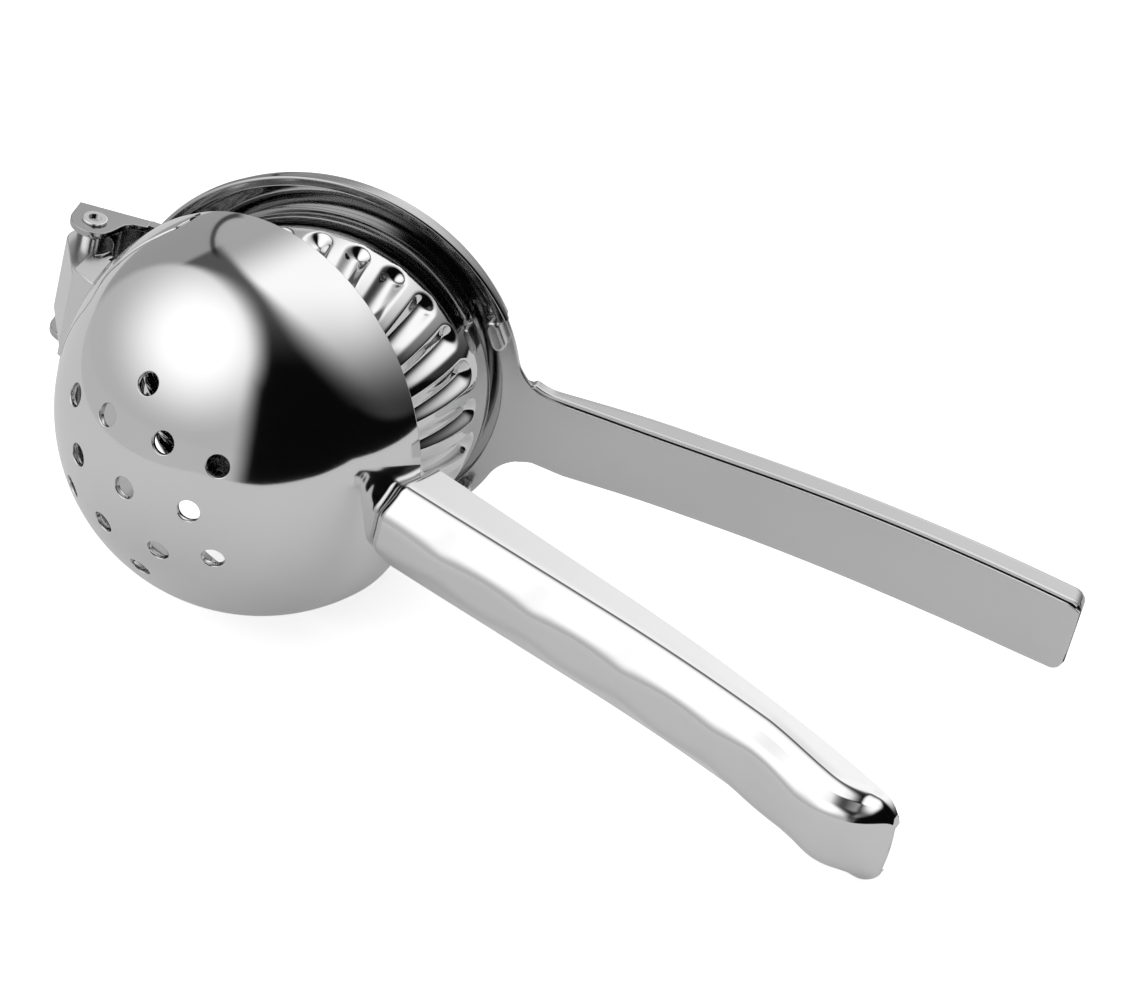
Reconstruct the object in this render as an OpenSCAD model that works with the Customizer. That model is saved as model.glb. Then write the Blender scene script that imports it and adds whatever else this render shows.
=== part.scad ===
// Hinged lemon squeezer in polished stainless steel.
// A perforated half-sphere bowl and a ribbed press dome turn on one rivet
// and are squeezed together by two hollow handles.
// Both halves are drawn in the squeezer's own frame: X runs from the bowl's
// centre to the handles, Y is the hinge line and Z points from the bowl to the
// press. lie_down() then lays the open tool on its side on the table.

/* [Pose] */
// Angle between the two halves as the tool lies open
open_angle = 22.7; // [5:0.1:60]

/* [Bowl] */
// Outer radius of the bowl
bowl_r = 36; // [32:0.5:45]
// Sheet thickness of the bowl
bowl_t = 1.2; // [0.8:0.1:2]
// Diameter of each drain hole
drain_d = 4.1; // [2.5:0.1:5]
// Number of drain holes in each of the two rings
drain_count = 6; // [4:1:8]
// Angle of the inner drain ring from the bowl's pole
drain_ring_1 = 20.6; // [15:0.2:24]
// Angle of the outer drain ring from the bowl's pole
drain_ring_2 = 30.6; // [28:0.2:40]

/* [Press] */
// Width of the pan's lip beyond the bowl's rim
lip_over = 1.6; // [1.2:0.1:4]
// Height of the lip above the bowl's rim when closed
lip_gap = 0.7; // [0.4:0.1:2]
// Depth of the pan inside its lip
pan_depth = 5; // [4:0.1:8]
// Sheet thickness of the pan and of the dome
press_t = 1; // [0.7:0.1:1.4]
// Width of the lip where the sheet is hemmed outwards
lip_w = 1.9; // [1.6:0.1:3]
// Gap between the dome and the inside of the bowl for the lemon's peel
peel_gap = 3.9; // [2.5:0.1:8]
// Drop of the dome's centre below the bowl's rim
dome_drop = 0.5; // [0:0.1:3]
// Number of flutes in the dome
flute_count = 26; // [12:1:28]
// Radius of the round groove that forms a flute
flute_r = 2.2; // [1.6:0.1:2.5]
// Depth of a flute at its outer end
flute_depth = 1.9; // [1:0.1:2]
// Wall left behind the deepest part of a flute
dome_web = 0.8; // [0.6:0.1:2]
// Angle from the dome's top to the outer end of a flute
flute_end = 77; // [60:1:79]
// Angle from the dome's top to where a flute fades out
flute_start = 18; // [15:1:35]

/* [Handles] */
// Distance from the bowl's centre to the tip of the bowl's handle
handle_reach = 142; // [115:0.5:170]
// Shortfall of the press handle's tip behind the bowl handle's
lever_short = 1.5; // [0:0.1:6]
// Radius of the press handle's gentle bow
lever_bow = 300; // [250:5:600]
// Radius of the bowl handle's gentle bow
grip_bow = 345; // [250:5:600]
// Thickness of the flat plate inside each handle
plate_t = 1; // [0.8:0.1:1.4]
// Sheet thickness of the handle shells
shell_t = 0.8; // [0.6:0.1:1.2]
// Width of the bowl's handle
grip_w = 17; // [15:0.5:22]
// Gap between the two handles when closed
hand_gap = 2.1; // [1:0.1:5]
// Depth of the bowl's handle at its root
grip_root = 13; // [11:0.1:15]
// Depth of the bowl's handle at its waist
grip_waist = 8.9; // [7.5:0.1:11]
// Outward swell of the hook at the end of the bowl's handle
hook_rise = 0.8; // [0:0.1:2.5]
// Height of the bevel along each edge of the bowl's handle
bevel_rise = 3.2; // [2:0.1:4]
// Half width of the handle's flat back between the finger scallops
back_half = 2; // [1:0.1:3]
// Reach of each finger scallop into the bevel
scallop = 1.7; // [0:0.1:2.5]
// Length of one finger scallop
scallop_pitch = 19.4; // [16:0.2:26]
// Width of the press handle's shell
lever_w = 15.8; // [14:0.1:20]
// Depth of the press handle
lever_depth = 6.2; // [5:0.1:10]
// Radius of the fillet where the press handle leaves the pan
neck_r = 8.5; // [4:0.5:14]

/* [Hinge] */
// Clearance between the pan's lip and the hinge eyes
hinge_out = 4; // [3.5:0.1:10]
// Height of the hinge line above the bowl's rim
pin_z = 2.8; // [1.5:0.1:3.2]
// Diameter of the rivet's shaft
pin_d = 3.4; // [2.8:0.1:4.4]
// Radial running clearance of the rivet in the lug
pin_fit = 0.06; // [0.03:0.01:0.1]
// Radius of the rounded eyes round the rivet
eye_r = 4.3; // [3.8:0.1:4.6]
// Width of the hinge lug on the bowl
lug_w = 18.4; // [14:0.2:22]
// Gap between the lug and each ear of the bracket
ear_gap = 1.8; // [0.4:0.1:3]
// Sheet thickness of the bracket and of the lug
hinge_t = 1.2; // [1:0.1:1.6]
// Thickness of the saddle strap between the lug and the bowl
saddle_t = 1.2; // [0.8:0.1:1.6]
// Length of the saddle strap from end to end
saddle_len = 63.6; // [44:0.2:64]

/* [Hidden] */
$fn = 96;
seat = 0.05;
brushed = [0.78, 0.79, 0.8];
polished = [0.84, 0.85, 0.86];

// Radii and levels of the press half.
pan_r = bowl_r + lip_over;
wall_r = pan_r - lip_w + press_t;
lip_z = lip_gap;
floor_z = lip_z + pan_depth;
back_z = floor_z + seat + press_t;
dome_r = bowl_r - bowl_t - peel_gap;
pan_corner = 3;
hem_h = 1.7;
hem_round = 0.5;
sector = 36;
lever_face = floor_z - plate_t;

// Lengths and levels of the two handles.
lever_reach = handle_reach - lever_short;
bow_x = 0.55 * handle_reach;
waist_x = 0.8 * handle_reach;
hook_x = 0.905 * handle_reach;
grip_face = lever_face - hand_gap;
tip_t = shell_t + 0.5;
tip_corner = 2.2;

// Places of the hinge.
pin_x = pan_r + hinge_out + eye_r;
pin = [-pin_x, pin_z];
bracket_w = lug_w + 2 * ear_gap + 2 * hinge_t;
bracket_top = pin_z + eye_r + 0.35 + hinge_t;
head_t = 0.5;

function bow_drop(x, r) = x < bow_x ? 0 : r - sqrt(r * r - pow(x - bow_x, 2));
function clamp01(u) = min(1, max(0, u));
function ease(u) = let(c = clamp01(u)) c * c * (3 - 2 * c);
function mix(a, b, u) = a + (b - a) * u;

// ------------------------------------------------------------- lying down
// The open tool rests on the bowl, on the pan's lip and on the tip of the
// bowl's handle. Leaning drops the handles and rolling lifts the press half
// until all three touch the table.
lip_cx = -pin_x + pin_x * cos(open_angle) - (lip_z - pin_z) * sin(open_angle);
lip_cz = pin_z + pin_x * sin(open_angle) + (lip_z - pin_z) * cos(open_angle);
tip_x = handle_reach - tip_corner;
tip_y = grip_w / 2 - tip_corner;
tip_z = grip_face - bow_drop(tip_x, grip_bow) - tip_t;
function lip_reach(lean, roll) = let(
        ux = sin(roll) * cos(lean) * sin(open_angle) - sin(lean) * cos(open_angle),
        uy = cos(roll) * cos(lean))
    pan_r * sqrt(ux * ux + uy * uy);
function next_roll(lean, roll) =
    asin((lip_reach(lean, roll) - bowl_r + lip_cx * sin(lean)) / (lip_cz * cos(lean)));
function next_lean(lean, roll) =
    asin((bowl_r - tip_corner + (tip_z * sin(roll) - tip_y * cos(roll)) * cos(lean)) / tip_x);
function settle(lean, roll, n) = n == 0 ? [lean, roll]
    : settle(next_lean(lean, roll), next_roll(lean, roll), n - 1);
rest = settle(12, 3, 12);

// The footprint is centred on the table's own origin.
lever_end_z = lever_face + lever_depth - bow_drop(lever_reach, lever_bow) - pin_z;
far_x = handle_reach * cos(rest[0]) + 0.8 * tip_y * sin(rest[0]);
near_x = -bracket_w / 2 * sin(rest[0]) - cos(rest[0])
    * (pin_x + eye_r * cos(open_angle) + (bracket_top - pin_z - 1) * sin(open_angle));
near_y = -bowl_r;
far_y = pin_z + (pin_x + lever_reach) * sin(open_angle) + lever_end_z * cos(open_angle);
module lie_down() {
    translate([-(far_x + near_x) / 2, -(far_y + near_y) / 2, bowl_r])
        rotate([0, rest[0], 0]) rotate([rest[1] - 90, 0, 0]) children();
}

// Turns the press half open round the hinge line.
module press_half() {
    lie_down() translate([-pin_x, 0, pin_z]) rotate([0, -open_angle, 0])
        translate([pin_x, 0, -pin_z]) children();
}

// Thickens an outline of the XZ plane from y0 to y1.
module across(y0, y1) {
    translate([0, y1, 0]) rotate([90, 0, 0]) linear_extrude(y1 - y0) children();
}

// ------------------------------------------------------------- bowl half
module drain(tilt, turn) {
    rotate([0, 0, turn]) rotate([0, tilt, 0])
        translate([0, 0, -bowl_r - 1]) cylinder(d = drain_d, h = 2 + 3 * bowl_t);
}

module strainer_bowl() {
    color(polished) lie_down() difference() {
        sphere(r = bowl_r);
        sphere(r = bowl_r - bowl_t);
        translate([0, 0, bowl_r]) cube(2 * bowl_r, center = true);
        drain(0, 0);
        for (i = [0 : drain_count - 1]) {
            drain(drain_ring_1, 180 + i * 360 / drain_count);
            drain(drain_ring_2, 180 + (i + 0.5) * 360 / drain_count);
        }
    }
}

// The strap lies on the bowl as a long lens, pointed at both ends.
saddle_top = -1;
saddle_end = -6;
saddle_low = -13.5;
function arc_r(chord, rise) = (chord * chord / 4 + rise * rise) / (2 * rise);
module lug_saddle() {
    up_r = arc_r(saddle_len, saddle_top - saddle_end);
    low_r = arc_r(saddle_len, saddle_end - saddle_low);
    color(polished) lie_down() difference() {
        intersection() {
            sphere(r = bowl_r + seat + saddle_t);
            translate([-bowl_r - 5, 0, saddle_top - up_r]) rotate([0, 90, 0])
                cylinder(r = up_r, h = bowl_r);
            translate([-bowl_r - 5, 0, saddle_low + low_r]) rotate([0, 90, 0])
                cylinder(r = low_r, h = bowl_r);
        }
        sphere(r = bowl_r + seat);
    }
}

// Point where a line from p just meets the eye round c, on the given side.
function touch(p, c, r, side) = let(a = atan2(p[1] - c[1], p[0] - c[0]),
        b = side * acos(0.96 * r / norm(p - c)))
    c + 0.96 * r * [cos(a + b), sin(a + b)];

lug_step = [-pan_r - 1, pin_z + 1.7];
lug_heel = [-bowl_r - 4.4, -7.7];
lug_toe = [-bowl_r + 1, -8.9];
lug_in = lug_w / 2 - hinge_t;
module lug_side() {
    polygon([touch(lug_step, pin, eye_r, 1), lug_step, [lug_step[0], -0.4],
        [lug_toe[0] + 3, -0.4], [lug_toe[0] + 3, lug_toe[1]], lug_toe, lug_heel,
        touch(lug_heel, pin, eye_r, -1)]);
}

// The folded channel keeps its two cheeks and the web that joins them below.
module hinge_lug() {
    color(brushed) lie_down() difference() {
        union() {
            across(-lug_w / 2, lug_w / 2) lug_side();
            across(-lug_w / 2, lug_w / 2) translate(pin) circle(r = eye_r);
        }
        across(-lug_in, lug_in) polygon([lug_heel + [-9, hinge_t], lug_heel + [0, hinge_t],
            lug_toe + [0, hinge_t], lug_toe + [5, hinge_t], lug_toe + [5, 22],
            lug_heel + [-20, 22], lug_heel + [-20, 6]]);
        across(-lug_w, lug_w) translate(pin) circle(d = pin_d + 2 * pin_fit);
        sphere(r = bowl_r + saddle_t + 2 * seat);
    }
}

// Back of the bowl's handle: depth below its inner face, at x.
function grip_level(x) = grip_face - bow_drop(x, grip_bow);
function grip_body(x) = mix(grip_root, grip_waist, clamp01((x - bowl_r) / (waist_x - bowl_r)))
    + hook_rise * ease((x - waist_x) / (hook_x - waist_x));
function grip_depth(x) = mix(grip_body(x), tip_t,
    pow(clamp01((x - hook_x) / (handle_reach - hook_x)), 1.7));
nose_r = 2 * shell_t;
function nose(x) = let(d = min(nose_r, x - bowl_r))
    nose_r - sqrt(nose_r * nose_r - pow(nose_r - d, 2));
function corner(x) = let(d = max(0, x - handle_reach + tip_corner))
    tip_corner - sqrt(tip_corner * tip_corner - d * d);
function grip_half(x) = grip_w / 2 - 0.6 * nose(x) - corner(x);
function back_edge(x) = mix(back_half + scallop * abs(sin(180 * (x - hook_x) / scallop_pitch)),
    grip_w / 2 - tip_corner - 1, ease((x - hook_x) / (handle_reach - hook_x - 3)));

// Joins rings of points into one closed skin. Each ring runs along the outside
// of a trough's section and back along its inside.
module trough(points, ring, count) {
    half = ring / 2;
    side_a = [for (s = [0 : count - 2]) for (i = [0 : ring - 1])
        [s * ring + i, s * ring + (i + 1) % ring, (s + 1) * ring + i]];
    side_b = [for (s = [0 : count - 2]) for (i = [0 : ring - 1])
        [s * ring + (i + 1) % ring, (s + 1) * ring + (i + 1) % ring, (s + 1) * ring + i]];
    root_a = [for (i = [0 : half - 2]) [i, ring - 1 - i, i + 1]];
    root_b = [for (i = [0 : half - 2]) [i + 1, ring - 1 - i, ring - 2 - i]];
    end = (count - 1) * ring;
    tip_a = [for (f = root_a) [end + f[0], end + f[2], end + f[1]]];
    tip_b = [for (f = root_b) [end + f[0], end + f[2], end + f[1]]];
    polyhedron(points, concat(side_a, side_b, root_a, root_b, tip_a, tip_b));
}
function mirrored(h) = [for (i = [len(h) - 2 : -1 : 0]) [-h[i][0], h[i][1]]];
function whole(h) = concat(h, mirrored(h));
function reversed(v) = [for (i = [len(v) - 1 : -1 : 0]) v[i]];

// Right half of the grip's section, from its open edge to the middle of its
// back: a straight side, a rounded corner, a bevel and the flat back.
bend = 34;
function skin(w, top, depth, flat, round) = let(
        s = min(1, depth / 7),
        r = round * s,
        edge = [w - r + r * sin(bend), top - depth + bevel_rise * s],
        mid = [min(flat, edge[0] - 0.3), top - depth])
    concat([[w, top]],
        [for (k = [0 : 4]) let(a = mix(90, bend, k / 4))
            [w - r + r * sin(a), edge[1] + r * (cos(bend) - cos(a))]],
        [for (k = [1 : 2]) mix(edge, mid, k / 3)],
        [mid, [mid[0] / 2, mid[1]], [0, mid[1]]]);
function grip_in(x) = x > handle_reach - 1.5 * shell_t ? seat
    : grip_depth(x) - nose(x) - shell_t;
function grip_ring(x) = let(w = grip_half(x), z = grip_level(x))
    concat(whole(skin(w, z, grip_depth(x) - nose(x), back_edge(x), 2.2)),
        reversed(whole(skin(w - shell_t, z, grip_in(x), back_edge(x) - 0.3 * shell_t, 1.6))));

// The first sections follow the bowl's round side, the later ones are flat.
root_r = bowl_r + seat;
root_run = bowl_r / 4;
function on_bowl(p) = sqrt(root_r * root_r - p[0] * p[0] - p[1] * p[1]);
function placed(x, p) =
    [x - clamp01((root_r + root_run - x) / root_run) * (root_r - on_bowl(p)), p[0], p[1]];
nose_x = root_r + 2 * nose_r;
grip_x = concat([for (i = [0 : 6]) mix(root_r, nose_x, pow(i / 6, 2))],
    [for (i = [1 : 32]) mix(nose_x, hook_x, i / 32)],
    [for (i = [1 : 7]) mix(hook_x, handle_reach - tip_corner, i / 7)],
    [for (a = [20 : 20 : 80]) handle_reach - tip_corner + tip_corner * sin(a)]);

module grip_shell() {
    points = [for (x = grip_x) for (p = grip_ring(x)) placed(x, p)];
    color(polished) lie_down() trough(points, len(grip_ring(bow_x)), len(grip_x));
}

// Section of a folded bar: x is its depth, y its width, c its outer corners.
module folded(d0, d1, w, c) {
    translate([d0, -w / 2]) square([d1 - c - d0, w]);
    translate([d0, c - w / 2]) square([d1 - d0, w - 2 * c]);
    for (side = [-1, 1]) {
        translate([d1 - c, side * (w / 2 - c)]) circle(r = c);
    }
}

// Runs that section along X from x0 to x1, with z0 as the level of depth 0.
module run_x(x0, x1, z0) {
    translate([x1, 0, z0]) rotate([0, -90, 0]) linear_extrude(x1 - x0) children();
}

// A flat strip that follows the bow, with its face at the level top.
module strip(x0, x1, top, w, r) {
    upper = concat([[x0, top]],
        [for (i = [0 : 32]) let(x = mix(bow_x, x1, i / 32)) [x, top - bow_drop(x, r)]]);
    lower = [for (i = [len(upper) - 1 : -1 : 0]) upper[i] - [0, plate_t]];
    across(-w / 2, w / 2) polygon(concat(upper, lower));
}

module grip_plate() {
    color(brushed) lie_down()
        strip(root_r + plate_t, handle_reach - 2 * tip_corner, grip_face,
            grip_w - 2 * shell_t - 2 * seat, grip_bow);
}

// ------------------------------------------------------------ press half
// Keeps only the sector of the pan that faces the handle.
module handle_sector(r, z0, z1) {
    translate([0, 0, z0]) linear_extrude(z1 - z0)
        polygon([[0, 0], [r, -r * tan(sector)], [r, r * tan(sector)]]);
}

module press_pan() {
    inner_r = wall_r - press_t;
    color(polished) press_half() difference() {
        rotate_extrude() difference() {
            union() {
                translate([0, lip_z + 0.8]) square([wall_r, back_z - pan_corner - lip_z - 0.8]);
                translate([0, back_z - pan_corner]) square([wall_r - pan_corner, pan_corner]);
                translate([wall_r - pan_corner, back_z - pan_corner]) circle(r = pan_corner);
                translate([0, lip_z + hem_round]) square([pan_r, hem_h - 2 * hem_round]);
                translate([0, lip_z]) square([pan_r - hem_round, hem_h]);
                translate([pan_r - hem_round, lip_z + hem_round]) circle(r = hem_round);
                translate([pan_r - hem_round, lip_z + hem_h - hem_round]) circle(r = hem_round);
            }
            translate([-1, lip_z - 1]) square([inner_r + 1, floor_z + seat - 1 - lip_z]);
            translate([-1, lip_z]) square([inner_r - 1, floor_z + seat - lip_z]);
            translate([inner_r - 2, floor_z + seat - 2]) circle(r = 2);
            translate([-pan_r, 0]) square([pan_r, 3 * back_z]);
        }
        difference() {
            handle_sector(2 * pan_r, lip_z - 1, back_z + 1);
            cylinder(r = wall_r - pan_corner, h = 2 * back_z);
        }
    }
}

// A flute is a round groove whose centre line is a circle shifted towards the
// dome's top, so that it grows deeper and wider away from the top.
flute_shift = flute_depth / (1 - cos(flute_end));
flute_path = dome_r + flute_r - flute_shift;
dome_in = dome_r - flute_depth - dome_web;
module flute(r) {
    translate([0, 0, -dome_drop - flute_shift]) rotate([90, 0, 0]) {
        rotate([0, 0, flute_start - 90]) rotate_extrude(angle = flute_end - flute_start)
            translate([flute_path, 0]) circle(r = r);
        rotate([0, 0, flute_end - 90]) translate([flute_path, 0, 0]) sphere(r = r);
    }
}

module press_dome() {
    color(polished) press_half() difference() {
        union() {
            translate([0, 0, -dome_drop]) sphere(r = dome_r);
            translate([0, 0, -dome_drop]) cylinder(r = dome_r, h = floor_z + dome_drop);
        }
        translate([0, 0, floor_z]) cylinder(r = bowl_r, h = bowl_r);
        for (i = [0 : flute_count - 1]) {
            rotate([0, 0, i * 360 / flute_count]) flute(flute_r);
        }
        translate([0, 0, -dome_drop]) sphere(r = dome_in);
        translate([0, 0, -dome_drop]) cylinder(r = dome_in, h = bowl_r);
    }
}

// The handle's plate grows out of a crescent that lies on the pan's floor.
crescent_in = dome_r + 0.8;
crescent_out = wall_r - press_t - seat;
neck_half = lever_w / 2 - shell_t - seat;
neck_x = sqrt(pow(crescent_out + neck_r, 2) - pow(neck_half + neck_r, 2));
function ray(a, l) = l * [cos(a), sin(a)];
module neck_outline() {
    difference() {
        union() {
            circle(r = crescent_out);
            translate([0, -neck_half - neck_r]) square([neck_x, 2 * (neck_half + neck_r)]);
        }
        circle(r = crescent_in);
        for (side = [-1, 1]) {
            translate([neck_x, side * (neck_half + neck_r)]) circle(r = neck_r);
            polygon([[0, 0], ray(side * (sector - 0.2), 2 * pan_r), ray(side * 90, 2 * pan_r),
                ray(side * 135, 2 * pan_r), [-pan_r, 0]]);
        }
    }
}

module lever_plate() {
    color(brushed) press_half() {
        translate([0, 0, lever_face]) linear_extrude(plate_t) neck_outline();
        strip(neck_x - plate_t, lever_reach - 2 * shell_t, floor_z, 2 * neck_half, lever_bow);
    }
}

// The lever's section is a plain trough with round corners. At its root it
// laps over the pan's back, and from the neck on its sides hold the plate.
lap = lever_w / 3;
root_x = wall_r - pan_corner - lap;
lever_end = lever_reach - tip_corner;
function lever_top(x) = x < wall_r - pan_corner + 0.3 ? back_z + seat
    : x < neck_x ? floor_z + seat : lever_face - bow_drop(x, lever_bow);
function lever_back(x) = mix(back_z + seat + 1.6 * shell_t,
    lever_face + lever_depth - bow_drop(x, lever_bow), clamp01((x - root_x) / (1.3 * lap)));
function lever_side(x) = let(d = max(0, x - lever_end))
    lever_w / 2 - tip_corner + sqrt(tip_corner * tip_corner - d * d);
function hull_side(w, top, back, round) = let(r = min(round, (back - top) * 0.8))
    concat([[w, top]],
        [for (a = [90 : -15 : 0]) [w - r + r * sin(a), back - r + r * cos(a)]],
        [[0, back]]);
function lever_in(x) = x > lever_reach - 1.5 * shell_t ? lever_top(x) + seat : lever_back(x) - shell_t;
function lever_ring(x) = reversed(concat(
    whole(hull_side(lever_side(x), lever_top(x), lever_back(x), 3)),
    reversed(whole(hull_side(lever_side(x) - shell_t, lever_top(x), lever_in(x), 3 - shell_t)))));
lever_x = concat([for (i = [0 : 4]) mix(root_x, root_x + lap, i / 4)],
    [wall_r - pan_corner + 0.29, wall_r - pan_corner + 0.31],
    [for (i = [1 : 2]) mix(wall_r - pan_corner + 0.31, neck_x - 0.01, i / 2)],
    [neck_x + 0.01],
    [for (i = [0 : 24]) mix(bow_x, lever_end, i / 24)],
    [for (a = [20 : 20 : 80]) lever_end + tip_corner * sin(a)]);

module lever_shell() {
    points = [for (x = lever_x) for (p = lever_ring(x)) [x, p[0], p[1]]];
    color(polished) press_half() trough(points, len(lever_ring(bow_x)), len(lever_x));
}

// Two small blocks beside the skirt keep the bowl's rim centred on the dome.
module stop_tab(side) {
    color(brushed) press_half() rotate([0, 0, side * 30.5])
        translate([(crescent_in + crescent_out) / 2, 0, lever_face - seat - 3]) linear_extrude(3) {
            square([2.6, 3.4], center = true);
            for (end = [-1, 1]) {
                translate([0, end * 1.7]) circle(r = 1.3);
            }
        }
}

module stop_tab_upper() {
    stop_tab(-1);
}

module stop_tab_lower() {
    stop_tab(1);
}

// ----------------------------------------------------------------- hinge
bracket_end = -wall_r - 0.4;
ear_step = [-pan_r - 3.5, pin_z + 1.5];
module bracket_side() {
    translate(pin) circle(r = eye_r);
    polygon([pin, touch(ear_step, pin, eye_r, -1), ear_step, [bracket_end, ear_step[1]],
        [bracket_end, bracket_top + 1], [-pin_x - eye_r, bracket_top + 1], [-pin_x - eye_r, pin_z]]);
}

module hinge_bracket() {
    color(brushed) press_half() difference() {
        intersection() {
            across(-bracket_w / 2, bracket_w / 2) bracket_side();
            run_x(-pin_x - 9, bracket_end + 1, 0) folded(-9, bracket_top, bracket_w, 2);
        }
        run_x(-pin_x - 9, bracket_end + 1, 0)
            folded(-19, bracket_top - hinge_t, bracket_w - 2 * hinge_t, 0.8);
        across(-bracket_w, bracket_w) translate(pin) circle(d = pin_d + 0.04);
    }
}

module bracket_foot() {
    foot_run = 0.35 * bracket_w;
    wide = bracket_w / 2;
    color(brushed) press_half() translate([0, 0, back_z + seat])
        linear_extrude(bracket_top - back_z - seat) union() {
            translate([bracket_end + seat, -wide]) square([foot_run - 2, bracket_w]);
            translate([bracket_end + seat, 2 - wide]) square([foot_run, bracket_w - 4]);
            for (side = [-1, 1]) {
                translate([bracket_end + seat + foot_run - 2, side * (wide - 2)]) circle(r = 2);
            }
        }
}

// A tubular rivet: plain shaft, rolled heads outside the ears, hollow ends.
module hinge_rivet() {
    head_r = pin_d / 2 + 0.6;
    reach = bracket_w / 2 + seat / 2;
    bore_r = pin_d / 2 - 0.5;
    color(polished) press_half() translate([-pin_x, 0, pin_z]) rotate([90, 0, 0])
        rotate_extrude() difference() {
            union() {
                translate([0, -reach]) square([pin_d / 2, 2 * reach]);
                for (side = [-1, 1]) {
                    translate([0, side * (reach + head_t / 2) - head_t / 2])
                        square([head_r - head_t / 2, head_t]);
                    translate([head_r - head_t / 2, side * (reach + head_t / 2)])
                        circle(r = head_t / 2);
                }
            }
            for (side = [-1, 1]) {
                translate([-1, side * (reach + 1) - 3]) square([bore_r + 1, 6]);
            }
        }
}

strainer_bowl();
lug_saddle();
hinge_lug();
grip_shell();
grip_plate();
press_pan();
press_dome();
lever_plate();
lever_shell();
stop_tab_upper();
stop_tab_lower();
bracket_foot();
hinge_bracket();
hinge_rivet();
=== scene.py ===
import math

import bmesh
import bpy
import numpy as np
from mathutils import Euler, Matrix, Vector


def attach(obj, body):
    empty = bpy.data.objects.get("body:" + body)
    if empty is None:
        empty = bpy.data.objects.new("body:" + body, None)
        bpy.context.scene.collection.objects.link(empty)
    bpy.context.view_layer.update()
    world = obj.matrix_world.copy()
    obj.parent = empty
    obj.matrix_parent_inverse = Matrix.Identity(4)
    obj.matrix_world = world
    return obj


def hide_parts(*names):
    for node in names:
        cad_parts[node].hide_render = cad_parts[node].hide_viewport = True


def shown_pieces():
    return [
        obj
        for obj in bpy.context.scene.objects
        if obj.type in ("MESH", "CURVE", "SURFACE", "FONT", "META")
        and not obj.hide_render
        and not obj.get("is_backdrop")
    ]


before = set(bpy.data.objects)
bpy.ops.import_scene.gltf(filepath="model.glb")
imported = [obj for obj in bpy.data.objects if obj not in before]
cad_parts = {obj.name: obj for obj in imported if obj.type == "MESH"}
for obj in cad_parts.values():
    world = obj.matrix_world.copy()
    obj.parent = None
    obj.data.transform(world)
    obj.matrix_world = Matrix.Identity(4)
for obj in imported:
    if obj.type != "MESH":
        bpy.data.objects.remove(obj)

bl_info = {
    "name": "Lemon Squeezer",
    "version": (1, 0, 0),
    "blender": (4, 5, 0),
    "location": "3D View > Sidebar > Squeezer",
    "description": "Polished surfaces, metals and stage of a hinged lemon squeezer",
    "category": "Add Mesh",
}

# The squeezer's own frame in millimetres: X from the bowl's centre to the
# handles, Y the hinge line, Z from the bowl to the press. BOWL and PRESS carry
# it to the frame of the CAD model.
LEAN, ROLL, OPEN = math.radians(11.3209), math.radians(2.54202 - 90), math.radians(22.7)
PIN_X, PIN_Z = -45.9, 2.8
PIN = Vector((PIN_X, 0, PIN_Z))
BOWL = (Matrix.Scale(0.001, 4) @ Matrix.Translation((-43.5496, -20.07615, 36))
        @ Matrix.Rotation(LEAN, 4, "Y") @ Matrix.Rotation(ROLL, 4, "X"))
PRESS = (BOWL @ Matrix.Translation(PIN) @ Matrix.Rotation(-OPEN, 4, "Y")
         @ Matrix.Translation(-PIN))
MM = 0.001
WELD = 1e-4  # points that are closer than this, in millimetres, are one


def length(name, text, default, low, high):
    return bpy.props.FloatProperty(name=name, description=text, default=default,
                                   min=low, max=high, unit="LENGTH", subtype="DISTANCE")


def share(name, text, default, low=0.0, high=1.0):
    return bpy.props.FloatProperty(name=name, description=text, default=default,
                                   min=low, max=high, subtype="FACTOR")


def colour(name, text, default):
    return bpy.props.FloatVectorProperty(name=name, description=text, default=default,
                                         size=3, min=0, max=1, subtype="COLOR")


class SQZ_PG_shapes(bpy.types.PropertyGroup):
    bowl_r: length("Bowl radius", "Outer radius of the bowl", 0.036, 0.03, 0.045)
    bowl_t: length("Bowl sheet", "Sheet thickness of the bowl", 0.0012, 0.0008, 0.002)
    rim_round: length("Rim rounding", "Rounding of the bowl's rim", 0.0003, 0.0001, 0.0005)
    drain_d: length("Drain hole", "Diameter of a drain hole", 0.0041, 0.002, 0.006)
    drain_round: length("Hole rounding", "Rounding of a drain hole's edges", 0.00022,
                        0.0001, 0.0005)
    dome_r: length("Dome radius", "Radius of the press dome", 0.0309, 0.025, 0.035)
    flute_r: length("Flute radius", "Radius of the groove of a flute", 0.0022, 0.0015, 0.003)
    flute_deep: length("Flute depth", "Depth of a flute at its lower end", 0.0015,
                       0.0008, 0.0019)
    flute_soft: length("Flute softness", "Rounding where a flute meets the dome", 0.0006,
                       0.0001, 0.001)
    sheet_round: length("Sheet rounding", "Rounding of the edges of the press half's sheets",
                        0.0003, 0.0001, 0.0004)


class SQZ_PG_metals(bpy.types.PropertyGroup):
    polished: colour("Polished steel", "Colour of the mirror-polished steel", (0.80, 0.80, 0.80))
    satin: colour("Satin steel", "Colour of the satin steel", (0.74, 0.74, 0.745))
    # Painted shade: a darker copy of the same steel for the pan, the lever's shell and the
    # bracket. It stands in for the shade and darker reflections these pieces show, not for a
    # different steel.
    deep: colour("Shaded steel", "Colour of the pan, the lever's shell and the bracket",
                 (0.5, 0.5, 0.505))
    gloss: share("Polished roughness", "Roughness of the mirror-polished steel", 0.07)
    brush: share("Satin roughness", "Roughness of the satin steel", 0.24)
    wave: share("Polish waviness", "Strength of the waves that hand polishing leaves", 0.05)


class SQZ_PG_stage(bpy.types.PropertyGroup):
    card: share("Light cards", "Brightness of the lights in the reflections", 0.95, 0.0, 3.0)
    floor: share("Floor", "Brightness of the table top in the reflections", 0.5, 0.0, 2.0)
    lens: bpy.props.FloatProperty(name="Lens", description="Focal length of the camera",
                                  default=160.66, min=20, max=300, unit="CAMERA")


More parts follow.
